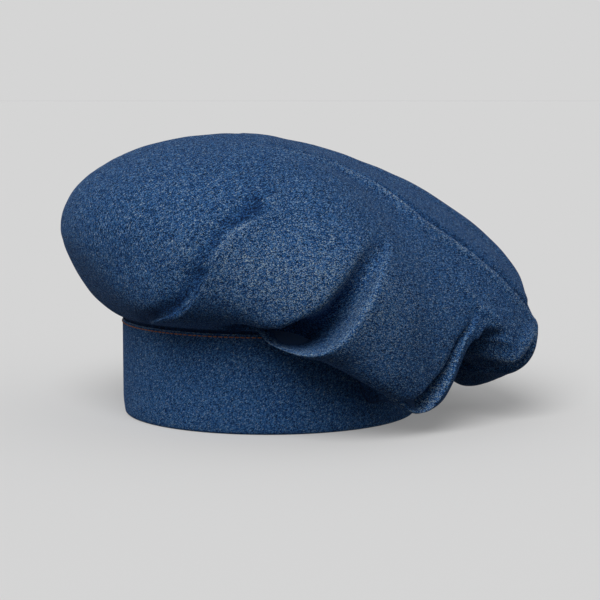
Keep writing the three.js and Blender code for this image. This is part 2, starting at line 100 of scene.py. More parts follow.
# The pleats, in order around the hat. path is the valley's azimuth at the rows PATH_ROWS. At
# the rows FOLD_ROWS, depth is the share of the reach that the valley takes back, left and
# right are the widths of its sides as shares of the pleat spread, lap is the lip's lean over
# the valley and roll its height, as shares of the sizes of those names, and hold is how much
# the valley holds the sag up. arch is how far it holds it up to the left and to the right, as
# shares of the pleat spread, and drop how much the valley's own line hangs free of that. wall
# tells how flat the valley's left side is before it climbs. end is the row where the pleat has
# run out.
Pleat = namedtuple("Pleat", "path depth left right lap roll hold arch drop wall end")
PATH_ROWS = (0, 0.2, 0.4, 0.5, 0.62)
FOLD_ROWS = (0, 0.25, 0.4, 0.55)
PLEATS = [
    Pleat((-140, -115, -104, -97.5, -87), (0.06, 0.1, 0.12, 0.1), (0.2, 0.35, 0.5, 0.5),
          (0.35, 0.35, 0.3, 0.3), (0.5, 0.8, 1.0, 0.9), (0.2, 0.4, 0.6, 0.5),
          (0.4, 0, 0, 0), (0.3, 0.3), 0, 1.2, 0.85),
    Pleat((-101, -82, -71, -65.5, -57), (0.85, 0.9, 0.4, 0.22), (0.8, 1.0, 0.6, 0.4),
          (0.4, 0.32, 0.55, 0.5), (0.3, 1.1, 0.8, 0.5), (0.2, 0.8, 0.8, 0.6),
          (1, 0.9, 0.3, 0), (1.2, 0.35), 1, 3.0, 0.64),
    Pleat((-62, -50, -37, -30, -29), (0.95, 0.95, 0.12, 0.06), (0.6, 0.35, 0.12, 0.12),
          (0.4, 0.32, 0.2, 0.2), (0.2, 0.3, 0.2, 0.1), (0.2, 0.3, 0.15, 0.1),
          (1, 0.9, 0.1, 0), (0.6, 0.3), 1, 1.6, 0.52),
    Pleat((-20, -26.5, -28, -24.5, -17), (0.85, 0.95, 0.6, 0), (1.2, 1.25, 0.45, 0.3),
          (1.0, 1.05, 0.55, 0.3), (0, 0, 0, 0), (0, 0, 0.1, 0),
          (1, 1, 1, 0), (1.3, 1.1), 0, 4.0, 0.44),
    Pleat((-4, -12, -9, -4, 2), (0.7, 0.45, 0.1, 0.03), (0.3, 0.3, 0.25, 0.25),
          (0.5, 0.6, 0.5, 0.4), (0, 0, 0, 0), (0, 0.1, 0.2, 0.1),
          (1, 0.4, 0, 0), (0.3, 0.3), 0, 1.2, 0.48),
    Pleat((16, 18, 22, 21, 20), (0.8, 0.75, 0.36, 0.14), (0.7, 0.8, 0.8, 0.6),
          (0.5, 0.7, 0.6, 0.5), (0.3, 0.6, 0.5, 0.2), (0.2, 0.5, 0.5, 0.2),
          (1, 1, 0.8, 0), (0.8, 0.7), 0, 1.0, 0.64),
    Pleat((48, 50, 50, 47, 42), (0.8, 0.75, 0.4, 0.14), (0.7, 0.8, 0.8, 0.6),
          (0.5, 0.7, 0.6, 0.5), (0.3, 0.6, 0.5, 0.2), (0.2, 0.5, 0.5, 0.2),
          (1, 1, 0.8, 0), (0.8, 0.7), 0, 1.0, 0.64),
    Pleat((84, 86, 82, 76, 70), (0.8, 0.75, 0.36, 0.14), (0.7, 0.9, 0.9, 0.6),
          (0.5, 0.7, 0.6, 0.5), (0.3, 0.6, 0.5, 0.2), (0.2, 0.5, 0.5, 0.2),
          (1, 1, 0.8, 0), (0.8, 0.7), 0, 1.0, 0.64),
    Pleat((118, 120, 112, 104, 96), (0.8, 0.7, 0.32, 0.14), (0.7, 0.9, 0.9, 0.6),
          (0.5, 0.6, 0.6, 0.5), (0.3, 0.6, 0.5, 0.2), (0.2, 0.5, 0.5, 0.2),
          (1, 1, 0.8, 0), (0.8, 0.7), 0, 1.0, 0.64),
    Pleat((150, 148, 140, 132, 124), (0.75, 0.6, 0.26, 0.12), (0.8, 1.0, 1.0, 0.6),
          (0.4, 0.5, 0.5, 0.4), (0.3, 0.6, 0.5, 0.2), (0.2, 0.4, 0.4, 0.2),
          (1, 1, 0.8, 0), (0.8, 0.6), 0, 1.0, 0.66),
    Pleat((182, 178, 172, 165, 158), (0.45, 0.22, 0.08, 0.03), (0.8, 1.0, 1.0, 0.8),
          (0.6, 0.7, 0.7, 0.6), (0, 0, 0, 0), (0, 0.1, 0.1, 0),
          (1, 0.6, 0.2, 0), (0.6, 0.6), 0, 1.0, 0.58),
]

# Soft creases that lie over the crown. route is azimuths and rows from end to end. ridge is
# how much the crease stands up, or is sunk where it is negative, dip how much the cloth to the
# right of it lies lower, seen going along it, and width its half width, all in metres. rubbed
# tells how pale its line has worn, and where it is negative, how much shade is painted along the
# line of a sunk crease. deep is how much darker and bluer the cloth behind it is: partly fresher
# indigo, partly painted shade.
Crease = namedtuple("Crease", "route ridge dip width rubbed deep")
CREASES = [
    Crease(((-2, 0.435), (-9, 0.47), (-13, 0.51), (-18, 0.57), (-22, 0.61), (-27, 0.64),
            (-33, 0.68), (-36, 0.74), (-50, 0.80), (-75, 0.82), (-110, 0.84)),
           0.0032, 0.0050, 0.0045, 1.4, 1.6),
    # A sunk crease, with its line painted darker as shade
    Crease(((24, 0.42), (14, 0.43), (5, 0.44), (-3, 0.455), (-9, 0.485), (-13, 0.53)),
           -0.0048, 0, 0.0048, -0.8, 0),
    Crease(((-23, 0.27), (-21, 0.32), (-19, 0.36), (-16, 0.40), (-12, 0.43), (-8, 0.455)),
           0.0040, 0.0070, 0.0055, 1.0, 0.8),
    Crease(((-83, 0.66), (-87, 0.62), (-98, 0.49), (-102, 0.43), (-104, 0.37), (-113, 0.23),
            (-124, 0.10), (-137, 0.01)),
           0.0020, 0.0040, 0.0030, 1.6, 1.8),
    Crease(((-125, 0.30), (-112, 0.42), (-108, 0.52)), 0.0010, 0, 0.006, 0, 0),
    Crease(((-58, 0.36), (-52, 0.46), (-47, 0.58)), 0.0008, 0, 0.005, 0, 0),
    Crease(((-34, 0.55), (-31, 0.50), (-27, 0.475), (-23, 0.43)), 0.0020, 0.0008, 0.004, 0.6, 0),
]

# A pleat across its width, in widths of its own side. VALLEY_WALL is how steep the valley's
# wall is under the lip, as an exponent, and VALLEY_HOLDS_UP the share of the sag that a full
# hold takes out.
VALLEY_WALL = 4.0
VALLEY_HOLDS_UP = 0.95

# The lip's place, how far its curve reaches to the valley's side and to the other side, and the
# exponent of that curve: 2 is round. LIP_RUBBED is the half width of its pale line, which is
# there in full from a roll of ROLL_RUBS on. LAP_BEGINS is the row by which it is free of the seam.
LIP_AT = 1.35
LIP_EDGE = 0.45
LIP_SHOULDER = 1.3
LIP_CREASE = 1.6
LIP_RUBBED = 0.32
ROLL_RUBS = 0.3
LAP_BEGINS = 0.1

# How soon cloth that is held up leaves the seam, and how sharply the hold ends at the sides of
# its arch, as an exponent
HELD_RISE = 0.45
ARCH_WALL = 3.5

# Where a valley's own line hangs free: the half width, as a share of the pleat spread, and the
# rows over which it comes free
DROP_WIDTH = 0.6
DROP_ROWS = (0.03, 0.16)

# The dome is plain elliptic inside this share of its plan
DOME_SETTLES = 0.15

# Distances in widths are cut off here, where a fold no longer has any effect
FAR_OFF = 20

# A crease fades out over these shares of its length, at its start and at its end. In its own
# widths, its pale line is CREASE_LINE wide, the cloth behind it lies lowest at CREASE_BEHIND,
# and is darker and bluer up to CREASE_BLUER_AND_SHADED, partly as fresher indigo and partly as painted
# shade.
CREASE_FADES = (0.15, 0.30)
CREASE_LINE = 0.6
CREASE_BEHIND = 2
CREASE_BLUER_AND_SHADED = 3

# The crown's edge comes up in the seam over this many rows, to this share of the roll's height
NECK_ROWS = 6
NECK_RISE = 0.55

# Gentle dents and swells of hand-worked cloth, from the row UNEVEN_FROM on in full
Swell = namedtuple("Swell", "height length seed")
SWELLS = (Swell(0.0010, 0.045, 3.1), Swell(0.0004, 0.014, 8.7))
UNEVEN_FROM = 0.12

# Where a fold is this much of a lip or valley, its two layers lie face to face and look alike
FOLDED_OVER = 0.01

# The stretch of the crown's front that is rubbed pale: azimuth, its spread, row, its spread
FRONT_RUBBED = (-80, 30, 0.42, 0.13)

# How pale the cloth has worn there, along a lip, on the band's upper edge and on its lower
# fold. Cloth in a valley is darker by VALLEY_FRESH_AND_SHADE, partly as fresher indigo and partly as
# painted shade. Cloth in the seam's gap is at SEAM_PAINTED_SHADE, painted shade that makes the gap dark.
FRONT_WORN = 0.95
LIP_WORN = 0.8
BAND_EDGE_WORN = 1.6
BAND_FOLD_WORN = 0.35
VALLEY_FRESH_AND_SHADE = 1.5
SEAM_PAINTED_SHADE = -2.0

# How finely the cloth is meshed. A gore is the cloth from one pleat to the next. Its first
# columns lie on the lip, up to LIP_REACHES of the lip side's width but at most LIP_ROOM of the
# gore, and COLUMN_DRIFT draws the others towards them.
GORE_COLUMNS = 32
LIP_COLUMNS = 16
LIP_REACHES = 2.2
LIP_ROOM = 0.7
COLUMN_DRIFT = 0.35
LOWER_ROWS = 62
UPPER_ROWS = 70
BAND_COLUMNS = 400
BAND_ROWS = 30
BAND_EDGE_STEPS = 6
BAND_FOLD_STEPS = 8

# The stitching: how far below the band's edge it runs, the share of a stitch that shows as
# thread, and how round it is. A stitch is STITCH_ENDS of the thread's thickness at its ends and
# STITCH_SWELL more in its middle, where it stands out by STITCH_STANDS of its radius.
STITCH_BELOW_EDGE = 0.0018
STITCH_SHARE = 0.78
STITCH_ENDS = 0.55
STITCH_SWELL = 0.45
STITCH_STANDS = 0.5
STITCH_SINKS = 0.0001
STITCH_RINGS = 6
STITCH_SIDES = 6
SEAM_STEPS = 3600

# The weave. rib, fleck and slub are the widths of the twill's ribs, of the places where a yarn
# comes up and of the thick places in the yarn. contrast is how far apart warp and weft are, and
# rise how much paler all of it is. The angles are directions on the cloth, in degrees, the
# lengths are in widths, and the weights share out the pattern.
Weave = namedtuple("Weave", "rib fleck slub contrast rise")
CROWN_WEAVE = Weave(0.0006, 0.00042, 0.0006, 2.4, -0.08)
BAND_WEAVE = Weave(0.0005, 0.0004, 0.0006, 2.0, -0.02)
TWILL_ANGLE = 40
RIB_LENGTH = 6
SLUB_ANGLE = 90
SLUB_LENGTH = 12
RIB_WEIGHT = 0.45
FLECK_WEIGHT = 0.37
SLUB_WEIGHT = 0.18

# The cloudy wash of the cloth: its direction, length and width, and how much it shows
WASH_ANGLE = 30
WASH_LENGTH = 0.040
WASH_WIDTH = 0.022
WASH_WEIGHT = 0.10

# Worn cloth is paler by WORN_WEIGHT and a little more mottled. Plain cloth is at MIDDLE_LEVEL
# on the scale of colours, where each colour has its own place.
WORN_WEIGHT = 0.15
WORN_CONTRAST = 0.1
MIDDLE_LEVEL = 0.45
SHADE_PLACE = 0.20
WARP_PLACE = 0.48
WEFT_PLACE = 0.78

# Fine fibre ends catch the light at a grazing angle, in this blue
FIBRE_BLUE = "#2f74d0"

# The thread's colour in the hollows of its twist, as a share of its own. The hollows are
# painted shade, spread as noise over the thread.
THREAD_HOLLOW_SHADE = 0.35

# The camera stands in front and a little above, and looks slightly down. FOCAL_PIXELS,
# HORIZON_PIXELS and PICTURE_SIZE are in the picture's own pixels.
CAMERA_PLACE = (0.0203, -1.184, 0.210)
FOCAL_PIXELS = 1752
HORIZON_PIXELS = 200
PICTURE_SIZE = 600
SENSOR_WIDTH = 36

# The lamp: its strength, the angle that it fills in degrees, and where it stands
KEY_STRENGTH = 2.2
KEY_ANGLE = 40
KEY_FROM = Vector((-0.24, -0.95, 1.00))

# The pale backdrop reaches from the horizon up to BACKDROP_TOP, as a sine, and a dimmer studio
# is above it. It is even up to BACKDROP_EVEN of that height, and the middle of its fade is at
# BACKDROP_MIDDLE of it. Under the horizon the light falls to UNDER_LIGHT by BACKDROP_FOOT, on a
# scale of 0 straight down, 0.5 level and 1 straight up.
BACKDROP_FOOT = 0.495
BACKDROP_TOP = 0.12
BACKDROP_EVEN = 0.9
BACKDROP_MIDDLE = 0.95
SKY_LIGHT = 0.42
UNDER_LIGHT = 0.03

# The share of the floor's light that comes up through it, from lamps behind the board
FLOOR_OWN_LIGHT = 0.28
FLOOR_HALF = 300.0

FULL_TURN = 360


def linear(hex_colour):
    """Turns an sRGB hex colour into the linear values that shaders take"""
    parts = [int(hex_colour[i:i + 2], 16) / 255 for i in (1, 3, 5)]
    return tuple(p / 12.92 if p <= 0.04045 else ((p + 0.055) / 1.055) ** 2.4 for p in parts)


def size(name, text, default):
    """A length that the user can set"""
    return FloatProperty(name=name, description=text, default=default, min=0.0, unit="LENGTH")


def colour(name, text, hex_colour):
    """A colour that the user can set"""
    return FloatVectorProperty(
        name=name, description=text, default=linear(hex_colour), size=3, min=0, max=1, subtype="COLOR"
    )


class HatSizes(bpy.types.PropertyGroup):
    """Sizes of the hat's cloth"""

    band_width: size("Band width", "Outside of the band from side to side", BAND_HIGH[0] - BAND_LOW[0])
    band_depth: size("Band depth", "Outside of the band from front to back", 0.196)
    band_height: size("Band height", "From the lower edge to the seam", 0.064)
    crown_height: size("Crown height", "From the seam to the top", 0.124)
    crown_reach: size("Crown reach", "How far a full section stands out past the band", 0.080)
    top_shift: size("Top shift", "How far the top lies to the left of the middle", 0.018)
    roll_out: size("Roll out", "How far the crown rolls out over the band", 0.002)
    roll_up: size("Roll up", "How far that roll stands over the band", 0.003)
    spread: size("Pleat spread", "Half width of a full pleat", 0.016)
    lap: size("Pleat lap", "Lean of a full pleat's lip over its valley", 0.008)
    roll: size("Pleat roll", "Height of a full pleat's lip", 0.006)
    stitch: size("Stitch", "Length of a stitch and the gap after it", 0.0036)
    thread: size("Thread", "Thickness of the sewing thread", 0.0009)


class HatColours(bpy.types.PropertyGroup):
    """Colours of the hat and its stage"""

    warp: colour("Warp", "Indigo of the warp threads", "#17417a")
    shade: colour("Warp shade", "Darkest indigo, between the threads", "#08192f")
    weft: colour("Weft", "Pale weft threads that show through", "#41709f")
    worn: colour("Worn", "Where the folds have rubbed pale", "#94a3ab")
    # Darker than the pale reverse of real denim: painted shade, as the inner face shows only in shadow
    reverse: colour("Reverse", "The inner face of the denim", "#344c68")
    thread: colour("Thread", "Brown sewing thread", "#b3703c")
    floor: colour("Floor", "Pale floor and background", "#d5d5d5")


def smooth(x, start, end):
    """Goes gently from 0 at start to 1 at end"""
    t = np.clip((x - start) / (end - start), 0, 1)
    return t * t * (3 - 2 * t)


def hermite(y1, y2, slope1, slope2, t):
    """A smooth step from y1 to y2 that has the given slopes at its ends"""
    t2 = t * t
    t3 = t2 * t
    from_first = (2 * t3 - 3 * t2 + 1) * y1 + (t3 - 2 * t2 + t) * slope1
    return from_first + (3 * t2 - 2 * t3) * y2 + (t3 - t2) * slope2


def along(rows, values, row):
    """A smooth curve through values at the given rows, held level beyond both ends"""
    x = np.array(rows, float)
    y = np.array(values, float)
    steps = np.diff(y) / np.diff(x)
    slopes = np.concatenate([steps[:1], (steps[:-1] + steps[1:]) / 2, [0.0]])
    at = np.clip(row, x[0], x[-1])
    i = np.clip(np.searchsorted(x, at, side="right") - 1, 0, len(x) - 2)
    length = x[i + 1] - x[i]
    return hermite(y[i], y[i + 1], slopes[i] * length, slopes[i + 1] * length, (at - x[i]) / length)


def around(azimuth, column):
    """A column of the section table as a smooth closed curve around the hat"""
    x = np.array([s.azimuth for s in SECTIONS], float)
    y = np.array([getattr(s, column) for s in SECTIONS], float)
    x = np.concatenate([x[-1:] - FULL_TURN, x, x[:2] + FULL_TURN])
    y = np.concatenate([y[-1:], y, y[:2]])
    turned = x[1] + (np.asarray(azimuth) - x[1]) % FULL_TURN
    i = np.clip(np.searchsorted(x, turned, side="right") - 1, 1, len(x) - 3)
    length = x[i + 1] - x[i]
    slope1 = (y[i + 1] - y[i - 1]) / (x[i + 1] - x[i - 1]) * length
    slope2 = (y[i + 2] - y[i]) / (x[i + 2] - x[i]) * length
    return hermite(y[i], y[i + 1], slope1, slope2, (turned - x[i]) / length)


def band_points(sizes, azimuth, inset, z):
    """Points of the band's oval, moved inwards at right angles to it"""
    a = sizes.band_width / 2
    b = sizes.band_depth / 2
    c = np.cos(np.radians(azimuth))
    s = np.sin(np.radians(azimuth))
    radius = a * b / np.hypot(b * c, a * s)
    nx = c / (a * a)
    ny = s / (b * b)
    length = np.hypot(nx, ny)
    x = radius * c - inset * nx / length
    y = radius * s - inset * ny / length
    return np.stack([x, y, np.broadcast_to(z, x.shape)], -1)


def band_radius(sizes, azimuth):
    """The plan radius of the band's outer face"""
    flat = band_points(sizes, azimuth, 0.0, 0.0)
    return np.hypot(flat[..., 0], flat[..., 1])


def height_over_seam(sizes, share):
    """A share of the crown's height, or below zero of the band's"""
    return np.where(share > 0, share * sizes.crown_height, share * sizes.band_height)


def rise_out(t, early):
    """How far out the cloth has come at a share of the way from the seam to the rim"""
    u = 1 - t
    return 3 * u * u * t * early + 3 * u * t * t + t * t * t


def dome_turn(row):
    """How far the dome has turned over from the rim (0) to the top (a right angle)"""
    return np.clip((row - RIM) / (1 - RIM), 0, 1) * math.pi / 2


def open_radius(sizes, azimuth, row):
    """The plan radius of the crown before its pleats are laid in"""
    reach = around(azimuth, "reach") * sizes.crown_reach
    risen = rise_out(np.minimum(row / RIM, 1), around(azimuth, "early"))
    out = band_radius(sizes, azimuth) + sizes.roll_out + reach * risen
    return np.maximum(out * np.cos(dome_turn(row)), sizes.roll_out)


def crown_points(sizes, azimuth, row, taken, held):
    """The crown with its pleats' pull: taken of the reach, and held up of the sag"""
    c = np.cos(np.radians(azimuth))
    s = np.sin(np.radians(azimuth))
    start = band_radius(sizes, azimuth) + sizes.roll_out
    reach = around(azimuth, "reach") * sizes.crown_reach
    rim = height_over_seam(sizes, around(azimuth, "rim"))
    belly = height_over_seam(sizes, around(azimuth, "belly"))
    t = np.clip(row / RIM, 0, 1)
    u = 1 - t
    inward = around(azimuth, "inward")
    pull = (belly - (sizes.roll_up + rim) / 8) / 0.75 - sizes.roll_up
    low = sizes.roll_up + (1 + inward) * pull
    lower = sizes.roll_up + (1 - inward) * pull
    sagging = u**3 * sizes.roll_up + 3 * t * u * u * low + 3 * t * t * u * lower + t**3 * rim
    straight = sizes.roll_up + (rim - sizes.roll_up) * (t + rise_out(t, HELD_RISE)) / 2
    out = start + reach * rise_out(t, around(azimuth, "early")) * (1 - taken)
    under = np.stack([out * c, out * s, sagging + (straight - sagging) * held], -1)
    plan = np.clip(np.cos(dome_turn(row)), 0, 1)
    fullness = 2 + (around(azimuth, "fullness") - 2) * smooth(plan, 0, DOME_SETTLES)
    lift = np.clip(1 - plan**fullness, 0, 1) ** (1 / fullness)
    level = np.sqrt(1 - lift * lift)
    over = np.stack(
        [
            -sizes.top_shift + ((start + reach) * c + sizes.top_shift) * plan - taken * reach * c * level,
            (start + reach) * s * plan - taken * reach * s * level,
            rim + (sizes.crown_height - rim) * lift - taken * reach * lift,
        ],
        -1,
    )
    points = np.where((row <= RIM)[..., None], under, over)
    points[..., 2] += sizes.band_height
    return points


def pleated_points(sizes, azimuth, row):
    """The crown with every pleat laid in, and how much each point is a lip's and a valley's"""
    turn = dome_turn(row)
    radius = open_radius(sizes, azimuth, row)
    left = np.ones_like(azimuth)
    sagging = np.ones_like(azimuth)
    lap = np.zeros_like(azimuth)
    roll = np.zeros_like(azimuth)
    lips = np.zeros_like(azimuth)
    sunk = np.zeros_like(azimuth)
    for pleat in PLEATS:
        away = azimuth - along(PATH_ROWS, pleat.path, row)
        across = np.radians((away + FULL_TURN / 2) % FULL_TURN - FULL_TURN / 2) * radius
        to_left = across < 0
        side = np.where(to_left, along(FOLD_ROWS, pleat.left, row), along(FOLD_ROWS, pleat.right, row))
        widths = np.abs(across) / (side * sizes.spread)
        valley = np.exp(-np.minimum(widths, FAR_OFF) ** np.where(to_left, pleat.wall, VALLEY_WALL))
        reaches = np.where(to_left, pleat.arch[0], pleat.arch[1]) * sizes.spread
        arch = np.exp(-np.minimum(np.abs(across) / reaches, FAR_OFF) ** ARCH_WALL)
        hanging = pleat.drop * smooth(row, *DROP_ROWS)
        arch = arch * (1 - hanging * np.exp(-((across / (DROP_WIDTH * sizes.spread)) ** 2)))
        fade = 1 - smooth(row, RIM, pleat.end)
        from_lip = np.minimum(widths, FAR_OFF) - LIP_AT
        folded = np.where(to_left, 0.0, smooth(row, 0, LAP_BEGINS) * fade)
        curve = np.abs(from_lip / np.where(from_lip < 0, LIP_EDGE, LIP_SHOULDER))
        lip = folded * np.exp(-(curve**LIP_CREASE))
        depth = along(FOLD_ROWS, pleat.depth, row) * fade
        left *= 1 - depth * valley
        sagging *= 1 - VALLEY_HOLDS_UP * along(FOLD_ROWS, pleat.hold, row) * arch
        lap += along(FOLD_ROWS, pleat.lap, row) * sizes.lap * lip
        roll += along(FOLD_ROWS, pleat.roll, row) * sizes.roll * lip
        rubbed = folded * smooth(along(FOLD_ROWS, pleat.roll, row), 0, ROLL_RUBS)
        lips = np.maximum(lips, rubbed * np.exp(-((from_lip / LIP_RUBBED) ** 2)))
        sunk = np.maximum(sunk, np.sqrt(np.clip(depth, 0, 1)) * valley)
    points = crown_points(sizes, azimuth, row, 1 - left, 1 - sagging)
    plan = np.maximum(np.hypot(points[..., 0], points[..., 1]), sizes.roll_out)
    back = -lap / plan
    x = points[..., 0] * np.cos(back) - points[..., 1] * np.sin(back)
    y = points[..., 0] * np.sin(back) + points[..., 1] * np.cos(back)
    out = 1 + roll * np.cos(turn) / plan
    return np.stack([x * out, y * out, points[..., 2] + roll * np.sin(turn)], -1), lips, sunk


def crown_rows():
    """Rows of the crown's mesh, from the seam up to just below the top"""
    return np.concatenate([
        np.linspace(0, RIM, LOWER_ROWS, endpoint=False),
        np.linspace(RIM, 1, UPPER_ROWS, endpoint=False),
    ])


def crown_columns(sizes, rows):
    """Azimuths of the crown's mesh, a line for each column, which keeps to its pleat or lip"""
    columns = []
    for number, pleat in enumerate(PLEATS):
        following = PLEATS[(number + 1) % len(PLEATS)]
        turns = FULL_TURN if number == len(PLEATS) - 1 else 0
        start = along(PATH_ROWS, pleat.path, rows)
        end = along(PATH_ROWS, following.path, rows) + turns
        width = along(FOLD_ROWS, pleat.right, rows) * sizes.spread
        width = width / (np.radians(end - start) * open_radius(sizes, start, rows))
        taken = np.minimum(LIP_REACHES * width, LIP_ROOM)
        free = smooth(rows, 0, LAP_BEGINS) * (1 - smooth(rows, pleat.end, 1))
        for i in range(GORE_COLUMNS):
            even = i / GORE_COLUMNS
            if i < LIP_COLUMNS:
                folded = taken * i / LIP_COLUMNS
            else:
                way = (i - LIP_COLUMNS) / (GORE_COLUMNS - LIP_COLUMNS)
                way = way + COLUMN_DRIFT * math.sin(math.pi * way) / math.pi
                folded = taken + (1 - taken) * way
            columns.append(start + (end - start) * (even + (folded - even) * free))
    return np.array(columns)


def normals_of(points, top):
    """Outward directions of a grid of points that closes around the hat"""
    across = np.roll(points, -1, 0) - np.roll(points, 1, 0)
    above = np.concatenate([points[:, 1:], np.broadcast_to(top, (len(points), 1, 3))], 1)
    below = np.concatenate([points[:, :1], points[:, :-1]], 1)
    outward = np.cross(across, above - below)
    return outward / np.maximum(np.linalg.norm(outward, axis=-1, keepdims=True), 1e-12)


def laid_route(sizes, route, count=24):
    """Points on the crown along a crease's route"""
    stops = np.arange(len(route), dtype=float)
    way = np.linspace(0, len(route) - 1, count)
    azimuth = along(stops, [stop[0] for stop in route], way)
    row = along(stops, [stop[1] for stop in route], way)
    return pleated_points(sizes, azimuth, row)[0]


def crease_height(points, outward, line, crease):
    """How far a crease moves each point outwards, its pale worn line, and the darker cloth behind it:
    fresher indigo and painted shade
    """
    best = np.full(points.shape[:-1], np.inf)
    side = np.zeros(points.shape[:-1])
    way = np.zeros(points.shape[:-1])
    for i in range(len(line) - 1):
        step = line[i + 1] - line[i]
        share = np.clip(((points - line[i]) @ step) / (step @ step), 0, 1)
        offset = points - line[i] - share[..., None] * step
        distance = np.linalg.norm(offset, axis=-1)
        nearer = distance < best
        turning = np.einsum("...i,...i", np.cross(np.broadcast_to(step, offset.shape), offset), outward)
        best = np.where(nearer, distance, best)
        side = np.where(nearer, np.sign(turning), side)
        way = np.where(nearer, (i + share) / (len(line) - 1), way)
    ends = smooth(way, 0, CREASE_FADES[0]) * smooth(1 - way, 0, CREASE_FADES[1])
    near = np.exp(-((best / crease.width) ** 2))
    past = (best - CREASE_BEHIND * crease.width) / crease.width
    behind = np.where(side < 0, np.exp(-(past**2)), 0)
    paler = crease.rubbed * np.exp(-((best / (CREASE_LINE * crease.width)) ** 2))
    # Painted shade, with fresher indigo, darkens the cloth behind the crease
    bluer = np.where(side < 0, np.exp(-((best / (CREASE_BLUER_AND_SHADED * crease.width)) ** 4)), 0)
    shade = paler - crease.deep * bluer * (1 - near)
    return ends * (crease.ridge * near - crease.dip * behind), ends * shade


def soft_unevenness(points, length, seed):
    """Smooth noise at the points, from -1 to 1"""
    flat = points.reshape(-1, 3) / length + seed
    values = [noise.noise(Vector(p)) for p in flat]
    return np.array(values).reshape(points.shape[:-1])


def grid_faces(columns, rows, start, turned):
    """Faces of a closed ring of columns, facing out, or in where turned"""
    i = np.arange(columns)[:, None]
    j = np.arange(rows - 1)[None, :]
    a = start + i * rows + j
    b = start + ((i + 1) % columns) * rows + j
    corners = [a, b, b + 1, a + 1]
    if turned:
        corners.reverse()
    return np.stack(corners, -1).reshape(-1, 4).tolist()


def add_piece(name, points, faces, materials, face_material=None):
    """Makes a smooth mesh that rides on the hat's one body"""
    mesh = bpy.data.meshes.new(name)
    mesh.from_pydata(np.asarray(points).tolist(), [], faces)
    mesh.update()
    piece = bpy.data.objects.new(name, mesh)
    bpy.context.scene.collection.objects.link(piece)
    for material in materials:
        mesh.materials.append(material)
    mesh.polygons.foreach_set("use_smooth", [True] * len(mesh.polygons))
    if face_material is not None:
        mesh.polygons.foreach_set("material_index", face_material)
    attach(piece, "root")
    return piece


def add_cloth_data(piece, pattern, worn):
    """Stores where each point lies on the cut cloth, in metres, and how worn it is; below zero, how much
    shade is painted on it
    """
    mesh = piece.data
    layer = mesh.uv_layers.new(name="Cloth")
    corners = np.empty(len(mesh.loops), int)
    mesh.loops.foreach_get("vertex_index", corners)
    layer.data.foreach_set("uv", np.asarray(pattern)[corners].ravel())
    attribute = mesh.attributes.new("worn", "FLOAT", "POINT")
    attribute.data.foreach_set("value", np.asarray(worn, float).ravel())


def crown_pattern(points, top):
    """Places the crown's points on its flat round piece of cloth"""
    path = np.concatenate([points, np.broadcast_to(top, (len(points), 1, 3))], 1)
    steps = np.linalg.norm(np.diff(path, axis=1), axis=-1)
    from_top = np.cumsum(steps[:, ::-1], axis=1)[:, ::-1]
    rim = LOWER_ROWS + NECK_ROWS
    widths = np.linalg.norm(np.roll(points[:, rim], -1, 0) - points[:, rim], axis=-1)
    turned = math.atan2(points[0, rim, 1], points[0, rim, 0])
    angle = turned + 2 * math.pi * np.concatenate([[0], np.cumsum(widths)[:-1]]) / widths.sum()
    return np.stack([from_top * np.cos(angle)[:, None], from_top * np.sin(angle)[:, None]], -1)


def crown_shape(sizes):
    """The crown's outer points from the seam up, its top, how worn each is, with painted shade below zero,
    and if it is folded
    """
    rows = crown_rows()
    azimuth = crown_columns(sizes, rows)
    row = np.broadcast_to(rows, azimuth.shape)
    points, lips, sunk = pleated_points(sizes, azimuth, row)
    top = np.array([-sizes.top_shift, 0, sizes.band_height + sizes.crown_height])
    none = np.zeros_like(lips)
    outward = normals_of(crown_points(sizes, azimuth, row, none, none), top)
    lift = np.zeros_like(lips)
    crease_wear_and_shade = np.zeros_like(lips)
    for crease in CREASES:
        height, shade = crease_height(points, outward, laid_route(sizes, crease.route), crease)
        lift += height
        crease_wear_and_shade += shade
    facing = (azimuth - FRONT_RUBBED[0] + FULL_TURN / 2) % FULL_TURN - FULL_TURN / 2
    rising = (row - FRONT_RUBBED[2]) / FRONT_RUBBED[3]
    rubbed = np.exp(-((facing / FRONT_RUBBED[1]) ** 2) - rising**2)
    pale = np.maximum(LIP_WORN * lips, FRONT_WORN * rubbed * (1 - sunk))
    # Below zero, worn is painted shade: in the valleys, where it is partly fresher indigo, and behind the
    # creases
    worn = pale - VALLEY_FRESH_AND_SHADE * sunk**2 * (1 - lips) + crease_wear_and_shade
    free = smooth(row, 0, UNEVEN_FROM)
    for swell in SWELLS:
        lift += free * swell.height * soft_unevenness(points, swell.length, swell.seed)
    points = points + outward * lift[..., None]
    inset = BAND_LEAF + SEAM_CLEARANCE
    bottom = sizes.band_height - SEAM_DEPTH + SEAM_CLEARANCE
    heights = np.linspace(bottom, sizes.band_height + NECK_RISE * sizes.roll_up, NECK_ROWS)
    neck = np.stack([band_points(sizes, azimuth[:, 0], inset, z) for z in heights], 1)
    points = np.concatenate([neck, points], 1)
    # The neck in the gap between band and crown is painted dark: painted shade in the seam
    worn = np.concatenate([np.full((len(worn), NECK_ROWS), SEAM_PAINTED_SHADE), worn], 1)
    folds = np.concatenate([np.zeros((len(worn), NECK_ROWS)), np.maximum(lips, sunk)], 1)
    return points, top, worn, folds > FOLDED_OVER


